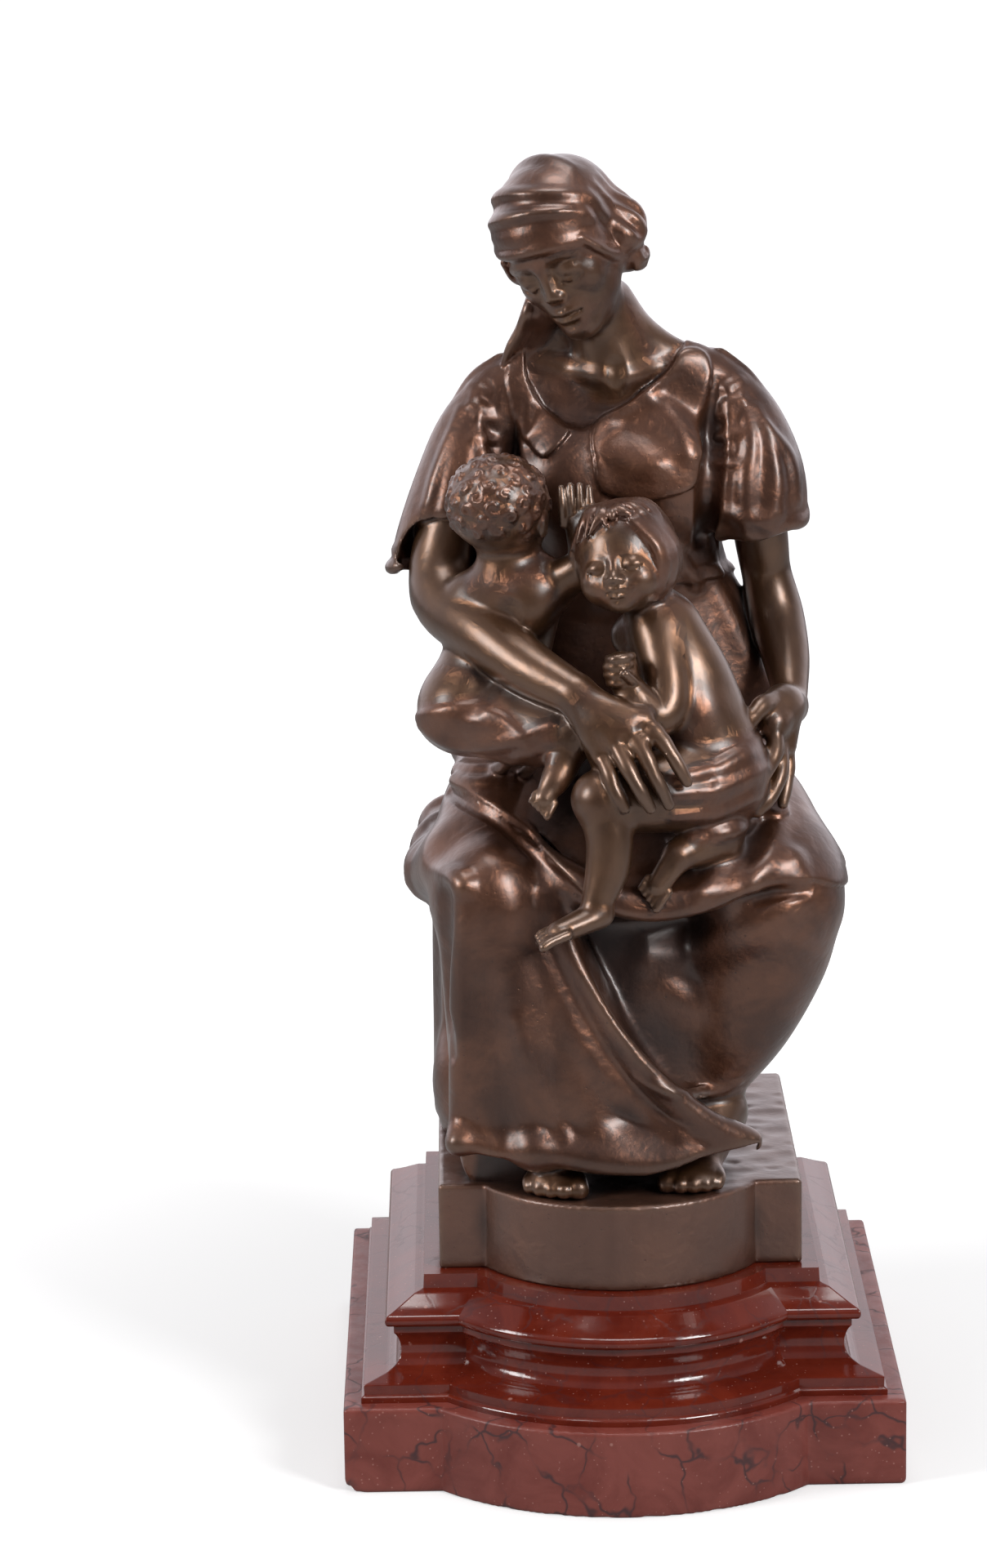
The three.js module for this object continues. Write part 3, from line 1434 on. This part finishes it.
// Hair combed over from a parting, falling beside the cheek
function infantsHair(clay, frame) {
  const [mid, halfSize] = [[0, 5, 6], [27.5, 30, 27]];
  clay.add(
    without(ball([1, 9, 9], [28, 28.5, 25.5], frame), ball([-5, -30, -6], [24, 24, 30], frame)),
    3,
  );
  for (let k = 0; k < 9; k++) {
    const wave = Math.sin(2.1 * k);
    const a = onBall(frame, mid, halfSize, 30 + 7 * k, 34, 1);
    const b = onBall(frame, mid, halfSize, 52 + 6 * k, -4, 1.05 + 0.01 * wave);
    const d = onBall(frame, mid, halfSize, 56 + 7 * k, -36, 1.12 + 0.02 * wave);
    const e = onBall(frame, mid, halfSize, 58 + 8 * k, -60, 1.22 + 0.03 * wave);
    clay.add(fold([a, b, d, e], [1.8, 3.2, 3, 1.2]), 1.6);
  }
}

function firstInfant(clay) {
  const head = frameAt([-60, -40, 533], 150, 8, 0);
  clay.add(limb([-58, -38, 512], [-56, -36, 494], 15, 18), 6);
  clay.add(ball([0, 4, 4], [28, 29, 26.5], head), 6);
  clay.add(ball([0, -8, -8], [22, 19, 18], head), 6);
  for (const s of SIDES) {
    ear(clay, head, s, [26.5, 0, -6]);
  }
  clay.add(
    fold([[-52, -34, 486], [-60, -32, 462], [-70, -34, 430]], [26, 28, 31], [0, 1, 0], 0.85),
    8,
  );
  clay.add(limb([-34, -42, 491], [-78, -28, 484], 14, 13), 9);
  clay.add(ball([-45, -52, 483], [13, 10, 16]), 8);
  clay.add(fold([[-32, -44, 492], [-16, -52, 506], [-19, -50, 528]], [12, 9.5, 6.5]), 3);
  clay.add(ball([-80, -42, 424], [28, 27, 25]), 8);
  clay.add(ball([-58, -52, 422], [27, 26, 21]), 8);
  clay.add(fold([[-62, -56, 420], [-40, -72, 418], [-24, -84, 417]], [21, 19, 15]), 5);
  clay.add(fold([[-24, -86, 415], [-29, -92, 402], [-33, -97, 395]], [11, 9, 7]), 3);
  infantsFoot(clay, [-33, -97, 397], [-43, -108, 381], [0, -1, 0.3], 7);
  // small hand on the mother's bodice
  for (let k = 0; k < 4; k++) {
    const x = -27 + 5 * k;
    clay.add(
      fold(
        [[x + 1, -50, 527], [x, -53, 537], [x - 0.5, -51, 549 - 1.5 * Math.abs(k - 1.5)]],
        [2.7, 2.5, 2],
      ),
      0.6,
    );
  }
  // the furrow down the back
  groove(
    clay,
    [[-56, -100, 492], [-64, -100, 465], [-76, -100, 438]],
    [7, 8, 7],
    [0.6, 1.6, 1.2],
    6,
  );
}

function secondInfant(clay) {
  const head = frameAt([5, -62, 508], -14, -10, -10);
  clay.add(limb([14, -56, 490], [26, -50, 474], 13, 16), 5);
  infantsFace(clay, head);
  infantsHair(clay, head);
  clay.add(fold([[30, -54, 464], [40, -59, 440], [48, -62, 412]], [21, 24.5, 27.5]), 8);
  clay.add(ball([53, -64, 394], [27.5, 28, 27]), 8);
  clay.add(ball([40, -76, 424], [17, 12, 18]), 10);
  // bent leg in front, its foot hanging
  clay.add(
    fold([[54, -70, 388], [32, -88, 387], [6, -101, 386], [-9, -107, 387]], [27, 23.5, 19, 16]),
    6,
  );
  clay.add(
    fold(
      [[-9, -108, 386], [-5, -112, 368], [-6, -114, 350], [-12, -118, 332]],
      [14.5, 13, 12, 8.5],
    ),
    4,
  );
  infantsFoot(clay, [-12, -119, 325], [-45, -138, 316], [0, 0, 1], 9.5);
  // the other leg, drawn up underneath
  clay.add(fold([[56, -82, 359], [45, -90, 356], [34, -98, 353]], [14, 12, 9]), 4);
  infantsFoot(clay, [32, -101, 352], [15, -110, 330], [0, -1, 0.4], 8);
  // arm to the chest, the hand closed
  clay.add(
    fold(
      [
        [24, -62, 468], [27, -74, 452], [28, -84, 436], [22, -90, 428], [12, -92, 437],
        [5, -90, 447],
      ],
      [15, 13.5, 12.5, 12, 10, 8],
    ),
    4,
  );
  clay.add(ball([2, -88, 456], [9.5, 8, 9.5]), 2);
  for (let k = 0; k < 4; k++) {
    const z = 463 - 4.6 * k;
    clay.add(fold([[10, -92, z - 1], [4, -96.5, z], [-4, -93, z - 0.5]], [2.5, 2.7, 2.3]), 1.2);
  }
  clay.add(fold([[9, -94, 451], [5, -98, 456], [-1, -98, 460]], [2.9, 2.9, 2.5]), 0.8);
  // the other shoulder and arm, behind
  clay.add(ball([12, -40, 462], [13, 12, 13]), 10);
}

function wraps(clay) {
  // cloth round the first infant's hips
  clay.drape(
    without(ball([-74, -58, 408], [44, 44, 26]), ball([-24, -100, 392], [17, 18, 18])),
    2.2,
    3,
  );
  const firstFolds = [[426, 414], [417, 404], [408, 396]];
  for (const [high, low] of firstFolds) {
    ridge(
      clay,
      [[-112, -60, high - 4], [-90, -90, low], [-62, -100, low + 2], [-36, -100, high]],
      [3, 4, 4, 3],
      [0.3, 1.7, 1.7, 0.3],
      4,
    );
  }
  // cloth round the second infant's hips
  clay.drape(
    without(ball([66, -66, 382], [44, 44, 32]), ball([99, -20, 402], [20, 24, 24])),
    2.2,
    3,
  );
  const secondFolds = [[396, 402, 412], [386, 389, 400], [374, 376, 388], [364, 364, 374]];
  for (const [inner, middle, outer] of secondFolds) {
    ridge(
      clay,
      [[30, -100, inner], [56, -100, middle], [84, -90, outer]],
      [2.5, 4, 3.5],
      [0.3, 1.8, 0.5],
      4,
    );
  }
}

function finger(clay, points, radius) {
  clay.add(
    fold(
      points,
      [radius * 1.12, radius * 1.02, radius * 1.05, radius * 0.88, radius * 0.9, radius * 0.72],
    ),
    1.3,
  );
}

function rightHand(clay) {
  // right hand, spread over the second infant's thigh
  const wrist = [-22, -92, 441.5];
  const fingers = [
    [[15, -106, 429], [23, -112, 421], [30, -116, 411], [37, -117, 398]],
    [[6, -109, 425], [14, -117, 414], [20, -121, 401], [27, -120, 386]],
    [[-2, -110, 420], [4, -119, 409], [10, -124, 398], [17, -123, 385]],
    [[-9, -108, 411], [-5, -116, 404], [-2, -121, 395], [3, -122, 385]],
  ];
  for (const line of fingers) {
    clay.add(
      fold([wrist, plus(between(wrist, line[0], 0.6), [0, -3, 0]), line[0]], [8.5, 7, 5.2]),
      4,
    );
    finger(clay, line, 4.5);
  }
  clay.add(fold([wrist, [-1, -103, 420], [9, -107, 408]], [9, 13, 9], [0.2, -1, 0.3], 0.5), 5);
  clay.add(
    fold([[-5, -105, 404], [4, -109, 409], [13, -109, 415], [20, -107, 422]], [4.6, 5.2, 5.2, 4.6]),
    2.5,
  );
  clay.add(fold([[-14, -94, 434], [-12, -100, 414], [-9, -104, 404]], [7, 6, 4.5]), 2);
}

function leftHand(clay) {
  // left hand, round the second infant's hip
  const wrist = [98, -20, 416];
  clay.add(fold([wrist, [93, -36, 420], [88, -50, 413]], [10.5, 12, 8.5]), 3);
  clay.add(limb([95, -36, 418], [94, -46, 400], 9.5, 6.5), 4);
  clay.add(ball([87, -50, 414], [8, 8, 9]), 5);
  finger(clay, [[89, -42, 425], [82, -54, 425], [76, -62, 421], [71, -66, 416]], 5.6);
  finger(clay, [[86, -52, 415], [88, -60, 403], [83, -70, 393], [74, -78, 388]], 4.8);
  finger(clay, [[90, -48, 406], [91, -58, 391], [86, -68, 379], [77, -76, 370]], 4.6);
  finger(clay, [[95, -42, 401], [95, -50, 385], [92, -58, 370]], 4.3);
}

function figure() {
  const clay = new Clay([-142, -156, FIGURE_FOOT - 6], [142, 128, 738], CLAY_STEP);
  seat(clay);
  lapAndLegs(clay);
  skirt(clay);
  waistAndBack(clay);
  overskirt(clay);
  feet(clay);
  torso(clay);
  bodice(clay);
  sleeves(clay);
  womansFace(clay, HEAD);
  headscarf(clay, HEAD);
  womansHair(clay, HEAD);
  secondInfant(clay);
  firstInfant(clay);
  wraps(clay);
  arms(clay);
  rightHand(clay);
  leftHand(clay);
  clay.keepAbove(FIGURE_FOOT);
  return simplified(surfaceOf(clay), FIGURE_TRIANGLES);
}

// A closed mesh as a solid that can be joined and cut
function solidOf(positions, index) {
  return new wasm.Manifold(
    new wasm.Mesh({
      numProp: 3,
      vertProperties: new Float32Array(positions),
      triVerts: new Uint32Array(index),
    }),
  );
}

function geometryOf(solid) {
  const { vertProperties, triVerts } = solid.getMesh();
  const geometry = new THREE.BufferGeometry();
  geometry.setAttribute("position", new THREE.BufferAttribute(vertProperties, 3));
  geometry.setIndex(new THREE.BufferAttribute(triVerts, 1));
  return geometry;
}

function bronzeGroup() {
  const { points, triangles } = figure();
  const base = sweptBlock([
    [BRONZE_BASE_INSET, MOULDING_TOP],
    [BRONZE_BASE_INSET, BRONZE_BASE_TOP],
  ]);
  // Vertices that the simplifier left unused are dropped
  const used = [...new Set(triangles.flat())];
  const renumbered = new Map(used.map((v, i) => [v, i]));
  const body = solidOf(
    used.flatMap((v) => points[v]),
    triangles.flat().map((v) => renumbered.get(v)),
  );
  return geometryOf(body.add(solidOf(base.attributes.position.array, base.index.array)));
}

const bronze = new THREE.MeshStandardMaterial({ color: 0x4a2f1e, roughness: 0.32, metalness: 1 });
const marble = new THREE.MeshStandardMaterial({ color: 0x5a1f18, roughness: 0.15, metalness: 0 });

function piece(name, geometry, material) {
  const mesh = new THREE.Mesh(geometry, material);
  mesh.name = name;
  return mesh;
}

const group = new THREE.Group();
group.name = "charity_group_on_plinth";
group.add(
  piece("bronze_figure_group", bronzeGroup(), bronze),
  piece("marble_moulded_block", sweptBlock(MOULDING), marble),
  piece("marble_slab", sweptBlock([[0, 0], [0, SLAB_TOP]]), marble),
);

export default group;
